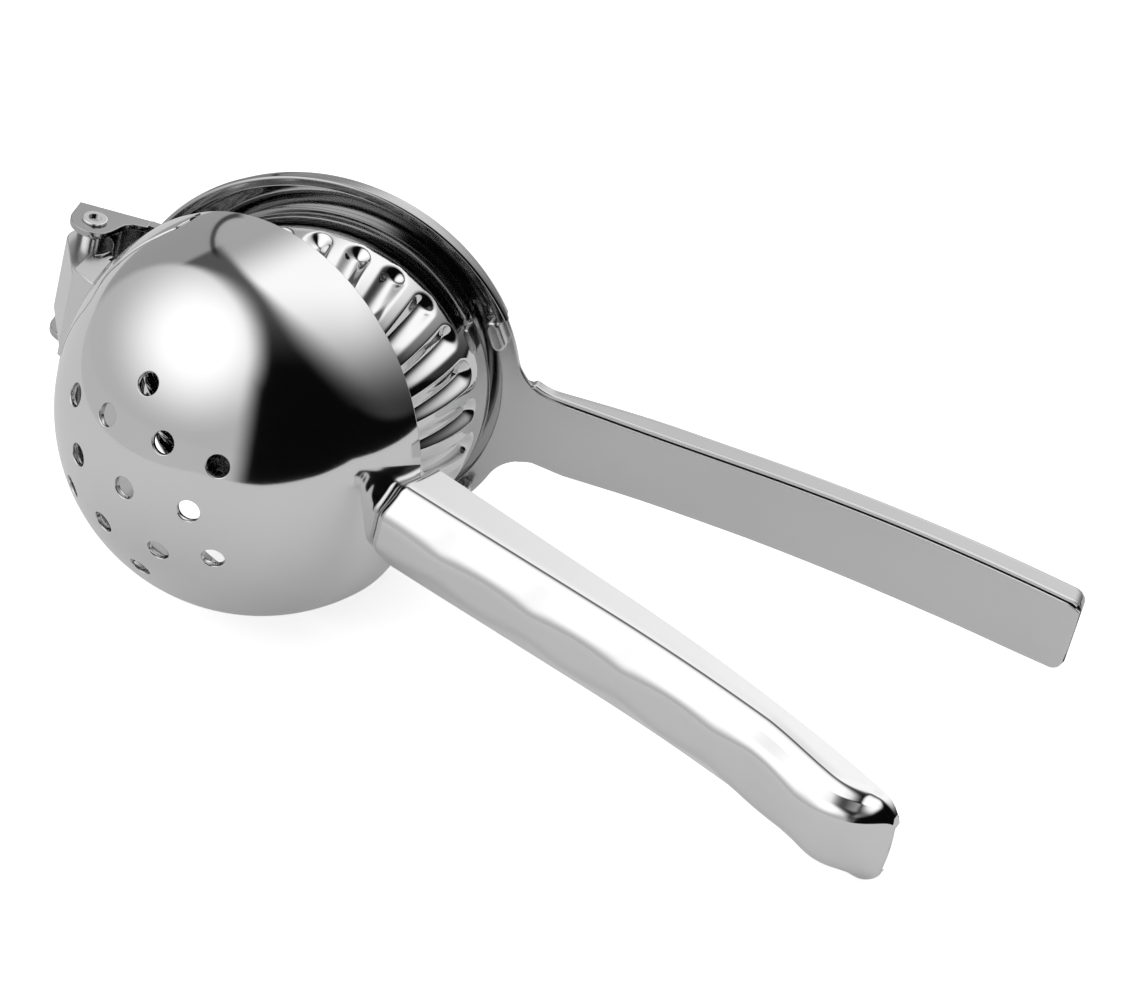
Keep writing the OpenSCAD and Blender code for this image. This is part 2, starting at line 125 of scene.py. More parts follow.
# ----------------------------------------------------------------- meshes
def apply_modifiers(obj):
    graph = bpy.context.evaluated_depsgraph_get()
    done = bpy.data.meshes.new_from_object(obj.evaluated_get(graph))
    obj.modifiers.clear()
    obj.data = done


def object_from(bm, name, matrix, body, stands_for, smooth=35, flat=False):
    """Places a finished shape on its body, where it stands for the CAD nodes. Edges
    sharper than smooth degrees stay sharp, and flat evens the shading of flat faces."""
    bmesh.ops.remove_doubles(bm, verts=bm.verts, dist=WELD)
    bmesh.ops.recalc_face_normals(bm, faces=bm.faces)
    mesh = bpy.data.meshes.new(name)
    bm.to_mesh(mesh)
    bm.free()
    mesh.transform(matrix)
    for p in mesh.polygons:
        p.use_smooth = True
    mesh.set_sharp_from_angle(angle=math.radians(smooth))
    obj = bpy.data.objects.new(name, mesh)
    bpy.context.scene.collection.objects.link(obj)
    if flat:
        obj.modifiers.new("weights", "WEIGHTED_NORMAL").keep_sharp = True
        apply_modifiers(obj)
    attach(obj, body)
    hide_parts(*stands_for)
    return obj


def clamp(u):
    return min(1.0, max(0.0, u))


def ease(u):
    u = clamp(u)
    return u * u * (3 - 2 * u)


def mix(a, b, u):
    return a + (b - a) * u


def lathe(bm, profile, steps):
    """Spins (radius, height) points round Z."""
    verts = [bm.verts.new((r, 0, z)) for r, z in profile]
    edges = [bm.edges.new(pair) for pair in zip(verts, verts[1:])]
    bmesh.ops.spin(bm, geom=verts + edges, cent=(0, 0, 0), axis=(0, 0, 1),
                   angle=math.tau, steps=steps, use_merge=True, use_duplicate=False)


def arc(cx, cy, r, start, end, count):
    """Points of an arc from start to end, in degrees."""
    return [(cx + r * math.cos(a), cy + r * math.sin(a))
            for a in np.radians(np.linspace(start, end, count))]


def loft(bm, rings, closed=True):
    """Extrudes the first ring from one section to the next."""
    ring = [bm.verts.new(p) for p in rings[0]]
    sides = [(i, (i + 1) % len(ring)) for i in range(len(ring) if closed else len(ring) - 1)]
    edges = [bm.edges.new((ring[i], ring[k])) for i, k in sides]
    for points in rings[1:]:
        grown = bmesh.ops.extrude_edge_only(bm, edges=edges)["geom"]
        fresh = {g for g in grown if isinstance(g, bmesh.types.BMVert)}
        ring = [next(w for w in (e.other_vert(v) for e in v.link_edges) if w in fresh)
                for v in ring]
        for v, p in zip(ring, points):
            v.co = p
        edges = [bm.edges.get((ring[i], ring[k])) for i, k in sides]


def turned(bm, profile, start, sweep, steps):
    """Spins a closed (radius, height) outline round Z and closes its ends."""
    turn = Matrix.Rotation(math.radians(start), 4, "Z")
    face = bm.faces.new([bm.verts.new(turn @ Vector((r, 0, z))) for r, z in profile])
    bmesh.ops.spin(bm, geom=[face, *face.edges, *face.verts], cent=(0, 0, 0), axis=(0, 0, 1),
                   angle=math.radians(sweep), steps=steps, use_merge=False, use_duplicate=False)


def inset(outline, d):
    """Moves a closed outline inwards by d."""
    pts = np.array(outline)
    before, after = np.roll(pts, 1, 0), np.roll(pts, -1, 0)
    turn = np.sum(before[:, 0] * pts[:, 1] - pts[:, 0] * before[:, 1])
    sides = []
    for run in (pts - before, after - pts):
        run = run / np.maximum(np.linalg.norm(run, axis=1), 1e-9)[:, None]
        sides.append(np.stack((-run[:, 1], run[:, 0]), 1) * math.copysign(1, turn))
    mid = sides[0] + sides[1]
    mid /= np.maximum(np.sum(mid * sides[0], 1), 0.4)[:, None]
    return pts + mid * d


def slab(bm, outline, low, high, r, place):
    """A plate with rounded edges: place turns (a, b, level) into a point."""
    turns = np.radians(np.linspace(0, 90, 5))
    levels = [(r * (1 - math.sin(a)), low + r * (1 - math.cos(a))) for a in turns]
    levels += [(d, high + low - z) for d, z in levels[::-1]]
    old = set(bm.edges)
    loft(bm, [[place(a, b, z) for a, b in inset(outline, d)] for d, z in levels])
    ends = [e for e in bm.edges if e not in old and e.is_boundary]
    bmesh.ops.holes_fill(bm, edges=ends, sides=0)


def lying(a, b, level):
    """Place for a slab whose sheet lies square to Z."""
    return Vector((a, b, level))


def across(a, b, level):
    """Place for a slab whose sheet stands square to the hinge line."""
    return Vector((a, level, b))


def ball_normals(mesh, centre, radii):
    """Gives the faces that lie on a ball's surface the ball's own normals."""
    n = len(mesh.vertices)
    co = np.zeros(n * 3)
    mesh.vertices.foreach_get("co", co)
    out = co.reshape(-1, 3) - np.array(centre)
    dist = np.linalg.norm(out, axis=1)
    out /= dist[:, None]
    corners = np.zeros(len(mesh.loops) * 3)
    mesh.corner_normals.foreach_get("vector", corners)
    corners = corners.reshape(-1, 3)
    loops = np.zeros(len(mesh.loops), int)
    mesh.loops.foreach_get("vertex_index", loops)
    for p in mesh.polygons:
        span = slice(p.loop_start, p.loop_start + p.loop_total)
        which = loops[span]
        for r in radii:
            if np.abs(dist[which] - r).max() < 3e-6:
                facing = Vector(out[which].mean(0)).dot(p.normal)
                if abs(facing) > 0.95:
                    corners[span] = math.copysign(1, facing) * out[which]
    mesh.normals_split_custom_set(corners.tolist())


# -------------------------------------------------------------------- bowl
# One drain hole on the bowl's pole, and rings of them at a tilt from the pole
# and a turn round it. The pattern leans a little as a whole. All in degrees.
DRAINS, DRAIN_RINGS, DRAIN_LEAN = 6, ((20.3, 180), (30.9, 210)), (2.7, -1.08, -7.6)


class SQZ_OT_bowl(bpy.types.Operator):
    """Build the polished bowl with its rounded rim and drain holes"""
    bl_idname = "squeezer.bowl"
    bl_label = "Strainer Bowl"

    def execute(self, context):
        s = context.scene.squeezer_shapes
        r, t, c = s.bowl_r / MM, s.bowl_t / MM, s.rim_round / MM
        bm = bmesh.new()
        outer = arc(0, 0, r, -90, -math.degrees(c / r), 110)
        inner = arc(0, 0, r - t, -math.degrees(c / r), -90, 100)
        rim = arc(r - c, -c, c, 0, 90, 6) + arc(r - t + c, -c, c, 90, 180, 6)
        lathe(bm, outer + rim[1:-1] + inner, 320)
        bowl = object_from(bm, "bowl_polished", BOWL, "bowl_half", ["strainer_bowl"])
        cut = bmesh.new()
        k, half, past, sunk = s.drain_round / MM, s.drain_d / MM / 2, 2, 0.06
        wide = half + k + 0.5
        tool = ([(0, r - t - past), (wide, r - t - past), (wide, r - t - 0.08)]
                + arc(half + k, r - t + k - sunk, k, 270, 180, 5)
                + arc(half + k, r - k - sunk, k, 180, 90, 5)
                + [(wide, r - 0.04), (wide, r + past), (0, r + past)])
        holes = [(0, 0)]
        for i in range(DRAINS):
            holes += [(tilt, turn + i * 360 / DRAINS) for tilt, turn in DRAIN_RINGS]
        lean = Euler([math.radians(a) for a in DRAIN_LEAN]).to_matrix().to_4x4()
        for tilt, turn in holes:
            before = set(cut.verts)
            lathe(cut, tool, 40)
            place = (lean @ Matrix.Rotation(math.radians(turn), 4, "Z")
                     @ Matrix.Rotation(math.radians(tilt), 4, "Y")
                     @ Matrix.Rotation(math.pi, 4, "X"))
            fresh = [v for v in cut.verts if v not in before]
            bmesh.ops.transform(cut, matrix=place, verts=fresh)
        bmesh.ops.remove_doubles(cut, verts=cut.verts, dist=WELD)
        bmesh.ops.recalc_face_normals(cut, faces=cut.faces)
        cut.transform(BOWL)
        mesh = bpy.data.meshes.new("drain_cutter")
        cut.to_mesh(mesh)
        cut.free()
        cutter = bpy.data.objects.new("drain_cutter", mesh)
        context.scene.collection.objects.link(cutter)
        bowl.data.update()
        m = bowl.modifiers.new("drains", "BOOLEAN")
        m.operation, m.solver, m.object = "DIFFERENCE", "EXACT", cutter
        context.view_layer.update()
        apply_modifiers(bowl)
        done = bowl.data
        bpy.data.objects.remove(cutter)
        if len(done.polygons) < 1000:
            raise RuntimeError("the drain holes were not cut")
        for p in done.polygons:
            p.use_smooth = True
        done.set_sharp_from_angle(angle=math.radians(38))
        ball_normals(done, (BOWL @ Vector((0, 0, 0))), [r * MM, (r - t) * MM])
        return {"FINISHED"}


# -------------------------------------------------------------------- dome
# The dome's drop below the rim and the height of its seat in the pan. A flute
# fades in FADE_START degrees from the dome's top, over FADE_RUN degrees.
FLUTES, DROP, DOME_TOP, FLUTE_END, FADE_START, FADE_RUN = 26, 0.5, 5.7, 77, 14, 8


class SQZ_OT_dome(bpy.types.Operator):
    """Build the fluted press dome with softened ribs"""
    bl_idname = "squeezer.dome"
    bl_label = "Press Dome"

    def execute(self, context):
        s = context.scene.squeezer_shapes
        r, fr, soft = s.dome_r / MM, s.flute_r / MM, s.flute_soft / MM
        foot, step, wall = 2.75, 1.5, 2.7
        bm = bmesh.new()
        sweep = np.concatenate([np.linspace(0.2, 16, 10), np.linspace(16.5, 68, 60),
                                np.linspace(68.5, 90, 40)])
        side = [(r * math.sin(math.radians(a)), -DROP - r * math.cos(math.radians(a)))
                for a in sweep]
        side += [(r, z) for z in np.linspace(-DROP, 2.1, 5)[1:]]
        side += arc(r - 0.6, 2.1, 0.6, 15, 90, 6) + [(r - step, foot), (r - step, DOME_TOP)]
        side += [(r - wall, DOME_TOP), (r - wall, -DROP), (0.01, -DROP - r + 3)]
        lathe(bm, side, FLUTES * 22)
        end = math.radians(FLUTE_END)
        shift = s.flute_deep / MM / (1 - math.cos(end))
        for v in bm.verts:
            p = v.co + Vector((0, 0, DROP))
            if p.length < r - 0.3 or v.co.z > DOME_TOP - 0.01:
                continue
            theta = math.atan2(math.hypot(p.x, p.y), -p.z)
            phi = math.atan2(p.y, p.x) * FLUTES / math.tau
            off = (phi - round(phi)) * math.tau / FLUTES * math.hypot(p.x, p.y)
            past = max(0.0, theta - end) * r if p.z < 0 else r * (math.pi / 2 - end) + p.z
            deep = shift * (1 - math.cos(min(theta, end)))
            deep *= clamp((math.degrees(theta) - FADE_START) / FADE_RUN)
            wide = math.sqrt(max(0.0, 2 * fr * deep - deep * deep)) + soft
            room = 1 - (off * off + past * past) / (wide * wide)
            cut = deep * max(0.0, room) ** 1.6
            if cut > 0:
                flat = Vector((p.x, p.y, 0)).normalized()
                v.co -= (p.normalized() if p.z < 0 else flat) * cut
        dome = object_from(bm, "dome_fluted", PRESS, "press_half", ["press_dome"], 50)
        return {"FINISHED"}


# -------------------------------------------------------------------- grip
# The bowl's handle: a folded sheet with a straight side, a rounded corner, a
# bevel and a flat back whose edge swings in and out along the finger scallops.
# Places along X: where it leaves the bowl, bows, is thinnest, hooks and ends.
ROOT, BOW, WAIST, HOOK, REACH = 36, 78.1, 113.6, 128.51, 142.0
ROOT_R, GRIP_W, GRIP_BOW, SHELL, OPEN_EDGE = 36.05, 17.0, 345, 0.8, 2.6
ROOT_DEEP, WAIST_DEEP, HOOK_RISE, TIP_DEEP = 13, 8.9, 0.8, 1.3
NOSE, TIP, BULGE, CORNER, BEVEL, BEND, SOFT = 1.8, 3.2, 1.1, 3.7, 3.2, 34, 1.7
BACK_HALF, BACK_GROWS, SCALLOP, PITCH = 2, 1.6, 1.5, 19.4


def bow_drop(x, r):
    """Fall of a handle that bows with radius r from BOW on."""
    return 0.0 if x < BOW else r - math.sqrt(r * r - (x - BOW) ** 2)


def grip_section(x):
    """Half width, height of the open edge, depth and half width of the back at x."""
    body = (mix(ROOT_DEEP, WAIST_DEEP, clamp((x - ROOT) / (WAIST - ROOT)))
            + HOOK_RISE * ease((x - WAIST) / (HOOK - WAIST)))
    depth = mix(body, TIP_DEEP, clamp((x - HOOK) / (REACH - HOOK)) ** 2.2)
    d = min(NOSE, x - ROOT)
    nose = NOSE - math.sqrt(NOSE ** 2 - (NOSE - d) ** 2)
    d = max(0.0, x - REACH + TIP)
    w = GRIP_W / 2 - nose - (TIP - math.sqrt(TIP ** 2 - d * d))
    wave = math.sqrt(0.05 + 0.95 * math.sin(math.pi * (x - HOOK + 2.5) / PITCH) ** 2)
    back = BACK_HALF + BACK_GROWS * ease((x - BOW) / (HOOK - BOW)) + SCALLOP * wave
    flat = mix(back, GRIP_W / 2 - BEVEL, ease((x - HOOK) / (REACH - HOOK - 3)))
    return w, OPEN_EDGE - bow_drop(x, GRIP_BOW), depth - nose, flat


def grip_outline(w, top, depth, flat, skin):
    """Half of a section as (y, z) from the open edge to the middle of the back, skin
    inside the handle's surface."""
    s = min(1.0, depth / 7)
    w, depth, r = w - skin, depth - skin, (CORNER - skin * 0.7) * s
    bend = math.radians(BEND)
    edge = (w - r + r * math.sin(bend), top - depth + BEVEL * s)
    mid = (min(flat, edge[0] - 0.3), top - depth)
    points = [(w, mix(top, edge[1] + r * math.cos(bend), k / 6)) for k in range(6)]
    points += [(w - r + r * math.sin(a), edge[1] + r * (math.cos(bend) - math.cos(a)))
               for a in np.linspace(math.pi / 2, bend, 9)]
    run = math.dist(edge, mid)
    soft = min(SOFT, 0.42 * run, 0.6 * mid[0])
    along = ((mid[0] - edge[0]) / run, (mid[1] - edge[1]) / run)
    points += [(mix(edge[0], mid[0] - along[0] * soft, k / 8),
                mix(edge[1], mid[1] - along[1] * soft, k / 8)) for k in range(1, 9)]
    start, stop = points[-1], (mid[0] - soft, mid[1])
    for k in range(1, 6):
        u = k / 6
        points.append(tuple(mix(mix(start[i], mid[i], u), mix(mid[i], stop[i], u), u)
                            for i in (0, 1)))
    points += [(mix(stop[0], 0, k / 4), stop[1]) for k in range(5)]
    return points


class SQZ_OT_grip(bpy.types.Operator):
    """Build the scalloped hollow handle of the bowl"""
    bl_idname = "squeezer.grip"
    bl_label = "Scalloped Grip"

    def execute(self, context):
        fine = 3.2
        xs = list(ROOT_R + fine * np.linspace(0, 1, 16) ** 2)
        xs += list(np.linspace(ROOT_R + fine, REACH - TIP, 260))[1:]
        xs += [REACH - TIP + TIP * math.sin(a) for a in np.radians(np.arange(6, 86, 6))]
        rings = []
        for x in xs:
            w, top, depth, flat = grip_section(x)
            outer = grip_outline(w, top, depth, flat, 0)
            inner = grip_outline(w, top, max(depth, 1.0), flat, SHELL)
            ring = outer + [(-y, z) for y, z in outer[-2::-1]]
            back = inner + [(-y, z) for y, z in inner[-2::-1]]
            ring = ring + back[::-1]
            k = clamp((ROOT_R + 9 - x) / 9)
            tip = BULGE * ease((x - 126) / 15)
            rings.append([(x - k * (ROOT_R - math.sqrt(ROOT_R ** 2 - y * y - z * z)) if k
                           else x - tip * (y / 8.5) ** 2, y, z) for y, z in ring])
        bm = bmesh.new()
        loft(bm, rings)
        bmesh.ops.holes_fill(bm, edges=[k for k in bm.edges if k.is_boundary], sides=0)
        grip = object_from(bm, "grip_polished", BOWL, "bowl_half", ["grip_shell"], 40)
        return {"FINISHED"}


# -------------------------------------------------------------- press half
# The pan: radii of its lip and wall, heights of the lip, floor and back, and
# half of the sector that is cut away for the lever's plate, in degrees.
PAN_R, WALL_R, LIP, FLOOR, BACK, SECTOR = 37.6, 36.7, 0.7, 5.7, 6.75, 36
SEAT, CRESCENT_R, TAB_R, TAB_TURN = 0.05, 32.2, 33.7, 31
# The lever: height of its plate, its tip, half width, depth and bow, and the
# fillet where it leaves the pan, with the fillet's centre.
FACE, LEVER, LEVER_HALF, LEVER_DEEP, LEVER_BOW, LEVER_TIP = 4.7, 140.5, 7.9, 6.2, 300, 2.2
NECK_R, NECK_X, NECK_Y, SHELL_START = 8.5, 41.32, 15.55, 28.43
# Depth of the waist on the lever's lower and upper side at stations along X.
STATIONS = (42, 53, 60, 76, 93, 110, 133, 140.5)
LOW_WAIST = (0.1, 0.6, 0.95, 0.95, 0.65, 0.4, 0.4, 0.8)
HIGH_WAIST = (0, 0.1, 0.2, 0.2, 0.15, 0.1, 0.1, 0.1)


class SQZ_OT_pan(bpy.types.Operator):
    """Build the smooth pan with its rolled lip and the two stop tabs"""
    bl_idname = "squeezer.pan"
    bl_label = "Press Pan"

    def execute(self, context):
        floor, hem = FLOOR + SEAT, 0.45
        open_side = ([(0.01, floor), (20, floor), (33.2, floor)]
                     + arc(WALL_R - 3, floor - 2, 2, 90, 0, 12)
                     + [(WALL_R - 1, LIP + 1.2)]
                     + arc(WALL_R - 1 + hem, LIP + hem, hem, 180, 270, 7)
                     + arc(PAN_R - 0.5, LIP + 0.5, 0.5, 270, 360, 7)
                     + arc(PAN_R - 0.5, LIP + 1.2, 0.5, 0, 90, 7)
                     + [(WALL_R + 0.25, LIP + 1.7)]
                     + arc(WALL_R + 0.3, LIP + 2.0, 0.3, 270, 180, 4)[1:]
                     + arc(WALL_R - 3, BACK - 3, 3, 0, 90, 14)
                     + [(33.2, BACK), (20, BACK), (0.01, BACK)])
        bm = bmesh.new()
        turned(bm, open_side, SECTOR, 360 - 2 * SECTOR, 260)
        closed = [(0.01, floor), (33.6, floor), (33.6, BACK), (0.01, BACK)]
        turned(bm, closed, -SECTOR - 0.01, 2 * SECTOR + 0.02, 70)
        pan = object_from(bm, "pan_polished", PRESS, "press_half", ["press_pan"], 50, True)
        for side, name in ((-1, "upper"), (1, "lower")):
            outline = arc(0, 1.7, 1.3, 0, 180, 12) + arc(0, -1.7, 1.3, 180, 360, 12)
            spin = (Matrix.Rotation(math.radians(side * TAB_TURN), 4, "Z")
                    @ Matrix.Translation((TAB_R, 0, 0)))
            bm = bmesh.new()
            slab(bm, outline, 1.65, 4.65, 0.7, lying)
            bmesh.ops.transform(bm, matrix=spin, verts=bm.verts)
            tab = object_from(bm, "tab_" + name + "_satin", PRESS, "press_half",
                              ["stop_tab_" + name], 50, True)
        return {"FINISHED"}


def lever_drop(x):
    return bow_drop(x, LEVER_BOW)


def lever_half(x, side=-1):
    """Width from the lever's middle to a side: a flared neck and a slight waist."""
    flare = NECK_R - math.sqrt(NECK_R ** 2 - min(5, max(0.0, NECK_X - x)) ** 2)
    waist = np.interp(x + np.linspace(-5, 5, 11), STATIONS,
                      LOW_WAIST if side > 0 else HIGH_WAIST).mean()
    d = max(0.0, x - LEVER + LEVER_TIP)
    tip = LEVER_TIP - math.sqrt(max(0.0, LEVER_TIP ** 2 - d * d))
    return LEVER_HALF + flare * ease((x - 36.2) / 1.5) - float(waist) - tip


class SQZ_OT_lever(bpy.types.Operator):
    """Build the lever: a recessed plate between the rolled edges of its shell"""
    bl_idname = "squeezer.lever"
    bl_label = "Lever"

    def execute(self, context):
        e = context.scene.squeezer_shapes.sheet_round / MM
        xs = list(np.linspace(SHELL_START, 33.8, 8)) + [34.2, 36.2]
        xs += list(np.linspace(36.7, 44, 22)) + list(np.linspace(44.5, LEVER - LEVER_TIP, 150))
        xs += [LEVER - LEVER_TIP + LEVER_TIP * math.sin(a)
               for a in np.radians(np.arange(8, 88, 8))]
        rings = []
        for x in xs:
            drop = lever_drop(x)
            back = mix(8.08, FACE + LEVER_DEEP - drop, ease((x - SHELL_START) / 36))
            sides = []
            for hand in (1, -1):
                w = lever_half(x, hand)
                plated = x > 36.5 and (hand > 0 or x > LEVER - 0.9)
                top = (6.8 if x < 34 else 5.75 if x < 36.5
                       else FACE - drop + (1.04 if plated else 0))
                deep = top + 0.1 + e if x > LEVER - 1.2 else back - SHELL
                c = min(3.0, (back - top) * 0.7)
                outer = arc(w - e, top + e, e, -90, 0, 5) + [
                    (w - c + c * math.cos(a), back - c + c * math.sin(a))
                    for a in np.radians(np.linspace(0, 90, 14))] + [(w / 3, back), (0, back)]
                v, g = w - SHELL, min(c - 0.6, max(0.05, (deep - top - e) * 0.8))
                inner = arc(v + e, top + e, e, -90, -180, 5) + [
                    (v - g + g * math.cos(a), deep - g + g * math.sin(a))
                    for a in np.radians(np.linspace(0, 90, 14))] + [(v / 3, deep), (0, deep)]
                sides.append((outer, inner))
            (outer, inner), (outer_2, inner_2) = sides
            ring = outer + [(-y, z) for y, z in outer_2[-2::-1]]
            hollow = inner + [(-y, z) for y, z in inner_2[-2::-1]]
            rings.append([(x, y, z) for y, z in ring + hollow[::-1]])
        bm = bmesh.new()
        loft(bm, rings)
        bmesh.ops.holes_fill(bm, edges=[k for k in bm.edges if k.is_boundary], sides=0)
        # Faces of the rolled edge on one side take the second material, the plain polished
        # steel; the rest of the shell takes the painted shade.
        for f in bm.faces:
            x, y, z = f.calc_center_median()
            f.material_index = int(y < 0 and x > 37 and z < FACE - lever_drop(x) + e + 0.1)
        shell = object_from(bm, "lever_polished", PRESS, "press_half", ["lever_shell"], 45, True)
        lean = math.degrees(math.atan2(NECK_Y, NECK_X))

        def neck(sign):
            return [(x, sign * y) for x, y in arc(0, 0, WALL_R - 1.05, SECTOR - 0.2, lean, 24)
                    + arc(NECK_X, NECK_Y, NECK_R, 180 + lean, 262, 24)[1:]]

        groove = 0.35
        below = [(x, lever_half(x, 1) - SEAT) for x in np.linspace(46, 138, 60)]
        above = [(x, groove + SHELL - lever_half(x)) for x in np.linspace(44, 139.5, 60)]
        y = below[-1][1]
        outline = (neck(1) + below + arc(138, y - LEVER_TIP, LEVER_TIP, 80, 0, 8)
                   + [(140.35, 2), (140.35, -2), (140.3, above[-1][1] + 0.4)]
                   + above[::-1] + neck(-1)[::-1]
                   + arc(0, 0, CRESCENT_R, 0.2 - SECTOR, SECTOR - 0.2, 60))
        bm = bmesh.new()
        slab(bm, outline, FACE, FACE + 1, e, lying)
        for x in [*np.linspace(38, 46, 9), *np.linspace(BOW, 138, 50)]:
            bmesh.ops.bisect_plane(bm, geom=[*bm.verts, *bm.edges, *bm.faces],
                                   plane_co=(x, 0, 0), plane_no=(1, 0, 0))
        for v in bm.verts:
            v.co.z -= lever_drop(v.co.x)
        plate = object_from(bm, "plate_satin", PRESS, "press_half", ["lever_plate"], 50, True)
        return {"FINISHED"}


# ------------------------------------------------------------------- hinge
# Eye round the rivet, outer face of the bracket's ears, and half widths of the
# lug's block, its knuckle and the strap.
EYE, EAR, EAR_T, BLOCK_HALF, ROLL_HALF, STRAP_HALF = 4.3, 12.2, 1.2, 9.2, 7.6, 29.5
BALL, STRAP_TOP = 36, -1.2
# The strap's lower edge: heights at distances from its middle.
STRAP_AT = (0, 13, 15.2, 15.9, 16.8, 18.6, 21.9, 26.5, 28.6, 29.5)
STRAP_LOW = (-21, -20.8, -20, -19, -17.6, -15, -12.4, -9.6, -7.6, -4.5)


class SQZ_OT_hinge(bpy.types.Operator):
    """Build the folded bracket, the lug and the strap that carries the lug"""
    bl_idname = "squeezer.hinge"
    bl_label = "Hinge"

    def execute(self, context):
        bm = bmesh.new()
        side = ([(-50.2, 6.9)] + arc(PIN_X, PIN_Z, EYE, 180, 312, 22)
                + [(-42.1, 1.2), (-41.2, 3.4), (-40.75, 4.6), (-39.6, 5.5), (-37.1, 6.3),
                   (-37.1, 8.63)])
        slab(bm, side, -EAR, EAR_T - EAR, 0.18, across)
        slab(bm, side, EAR - EAR_T, EAR, 0.18, across)
        web = [(-49.4, 5.85), (-49.4, 7.0), (-37.1, 8.63), (-37.1, 7.45)]
        slab(bm, web, EAR_T - SEAT - EAR, EAR - EAR_T + SEAT, 0.05, across)
        bracket = object_from(bm, "bracket_satin", PRESS, "press_half", ["hinge_bracket"],
                              50, True)
        bm = bmesh.new()
        block = [(-41.67, -2.18), (-40.6, -2.2), (-39.69, -1.6), (-39.45, 0.7), (-38.75, 0.9),
                 (-38.7, -0.5), (-36.7, -0.6), (-35.4, -5), (-34.9, -8.77), (-39.97, -8.18)]
        slab(bm, block, -BLOCK_HALF, BLOCK_HALF, 0.2, across)
        roll = ([(-40.2, -7.9), (-41.2, -2.3), (-39.4, -1.2)]
                + arc(PIN_X, PIN_Z, EYE - 0.02, -35, 218, 40))
        slab(bm, roll[::-1], -ROLL_HALF, ROLL_HALF, 0.3, across)
        lug = object_from(bm, "lug_satin", BOWL, "bowl_half", ["hinge_lug"], 50, True)
        bm, rows, soft = bmesh.new(), [], 0.3
        for y in np.linspace(-STRAP_HALF, STRAP_HALF, 161):
            end = float(np.interp(abs(y), STRAP_AT, STRAP_LOW))
            thick = mix(1.1, 0.18, clamp(abs(y) / STRAP_HALF) ** 0.7)
            row = []
            for v in np.linspace(0, 1, 36):
                z = mix(STRAP_TOP, end, v)
                edge = 1 - min(1.0, min(v, 1 - v) * (STRAP_TOP - end) / soft)
                rise = mix(0.05, thick, 1 - ease((-z - 9) / 9)) * math.sqrt(1 - edge ** 2)
                row.append(Vector((-math.sqrt(BALL ** 2 - y * y - z * z), y, z))
                           * ((BALL + 0.03 + rise) / BALL))
            rows.append(row)
        loft(bm, rows[::-1], closed=False)
        strap = object_from(bm, "strap_polished", BOWL, "bowl_half", ["lug_saddle"], 50)
        return {"FINISHED"}


# ------------------------------------------------------------------ metals
def node(tree, kind, **sockets):
    n = tree.nodes.new(kind)
    for key, value in sockets.items():
        if key in n.inputs:
            n.inputs[key].default_value = value
        else:
            setattr(n, key, value)
    return n


def steel(name, tone, rough, wave, streak=0.0):
    """Metal with faint cloudy polish, fine waves and, if asked, fine brushing."""
    mat = bpy.data.materials.new(name)
    mat.use_nodes = True
    tree = mat.node_tree
    bsdf = tree.nodes["Principled BSDF"]
    link = tree.links.new
    bsdf.inputs["Metallic"].default_value = 1.0
    where = node(tree, "ShaderNodeTexCoord").outputs["Object"]
    cloud = node(tree, "ShaderNodeTexNoise", Scale=60.0, Detail=3.0)
    link(where, cloud.inputs["Vector"])
    lay = node(tree, "ShaderNodeMapRange")
    lay.inputs["To Min"].default_value = rough * 0.75
    lay.inputs["To Max"].default_value = rough * 1.25
    link(cloud.outputs["Fac"], lay.inputs["Value"])
    link(lay.outputs["Result"], bsdf.inputs["Roughness"])
    ramp = node(tree, "ShaderNodeMix")
    ramp.data_type = "RGBA"
    ramp.inputs[6].default_value = (*[c * 0.97 for c in tone], 1)
    ramp.inputs[7].default_value = (*[min(1, c * 1.02) for c in tone], 1)
    link(cloud.outputs["Fac"], ramp.inputs[0])
    link(ramp.outputs[2], bsdf.inputs["Base Color"])
    wavy = node(tree, "ShaderNodeTexNoise", Scale=90.0, Detail=2.0)
    link(where, wavy.inputs["Vector"])
    bump = node(tree, "ShaderNodeBump", Strength=wave, Distance=0.0004)
    link(wavy.outputs["Fac"], bump.inputs["Height"])
    last = bump
    if streak:
        scale = node(tree, "ShaderNodeMapping")
        scale.inputs["Scale"].default_value = (60, 2500, 2500)
        link(where, scale.inputs["Vector"])
        hair = node(tree, "ShaderNodeTexNoise", Scale=1.0, Detail=2.0)
        link(scale.outputs["Vector"], hair.inputs["Vector"])
        fine = node(tree, "ShaderNodeBump", Strength=streak, Distance=0.00003)
        link(hair.outputs["Fac"], fine.inputs["Height"])
        link(bump.outputs["Normal"], fine.inputs["Normal"])
        last = fine
    link(last.outputs["Normal"], bsdf.inputs["Normal"])
    return mat


# Pieces that take the painted shade: a darker copy of the same polished steel.
SHADED = {"pan_polished", "lever_polished", "bracket_satin", "bracket_foot"}


class SQZ_OT_metals(bpy.types.Operator):
    """Give every piece its polished or satin steel, or the darker copy that paints shade on the
    pan, the lever's shell and the bracket
    """
    bl_idname = "squeezer.metals"
    bl_label = "Metals"

    def execute(self, context):
        m = context.scene.squeezer_metals
        polished = steel("steel_polished", m.polished, m.gloss, m.wave)
        satin = steel("steel_satin", m.satin, m.brush, m.wave, 0.25)
        # A darker copy of the polished steel: painted shade for the pieces in SHADED.
        deep = steel("steel_painted_shade", m.deep, m.gloss * 1.4, m.wave)
        for obj in [*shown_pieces(), *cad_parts.values()]:
            is_satin = obj.name == "grip_plate" or obj.name.endswith("satin")
            mat = deep if obj.name in SHADED else satin if is_satin else polished
            if obj.data.materials:
                for i in range(len(obj.data.materials)):
                    obj.data.materials[i] = mat
            else:
                obj.data.materials.append(mat)
            # The rolled edge of the lever's shell keeps the plain polished steel; the rest of
            # the shell takes the painted shade.
            if obj.name == "lever_polished":
                obj.data.materials.append(polished)  # the rolled edge of the shell
        return {"FINISHED"}


